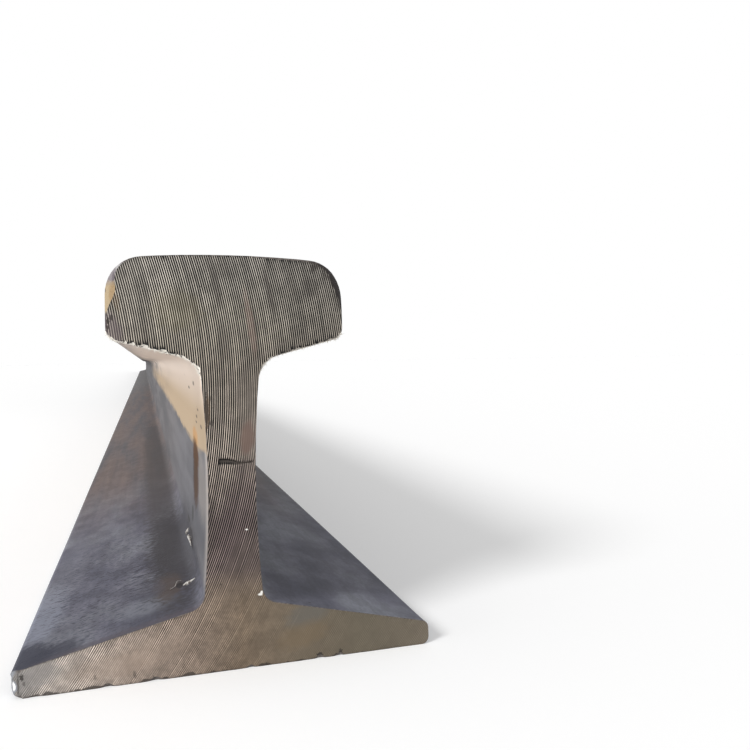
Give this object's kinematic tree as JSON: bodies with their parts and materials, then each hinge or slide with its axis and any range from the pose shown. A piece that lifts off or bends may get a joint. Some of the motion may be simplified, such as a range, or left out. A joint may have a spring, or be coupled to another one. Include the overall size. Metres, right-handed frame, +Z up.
{
  "type": "railroad rail",
  "caption": "Flat-bottomed railroad rail: a rolled steel section with crowned head, waisted web and sloping foot, sawn square at its ends, with mill scale, saw marks and light rust.",
  "frame": {"origin": "centre of the flat underside of the foot, halfway along the rail", "axes": "+Y along the rail, +X across the foot, +Z up from foot to head"},
  "size_m": [0.108, 6, 0.1079],
  "materials": {
    "rolled_steel": "grey-brown mill scale with light rust on the rolled faces, saw marks on the ends"
  },
  "bodies": {
    "root": {"rail": "rolled_steel"}
  },
  "joints": []
}
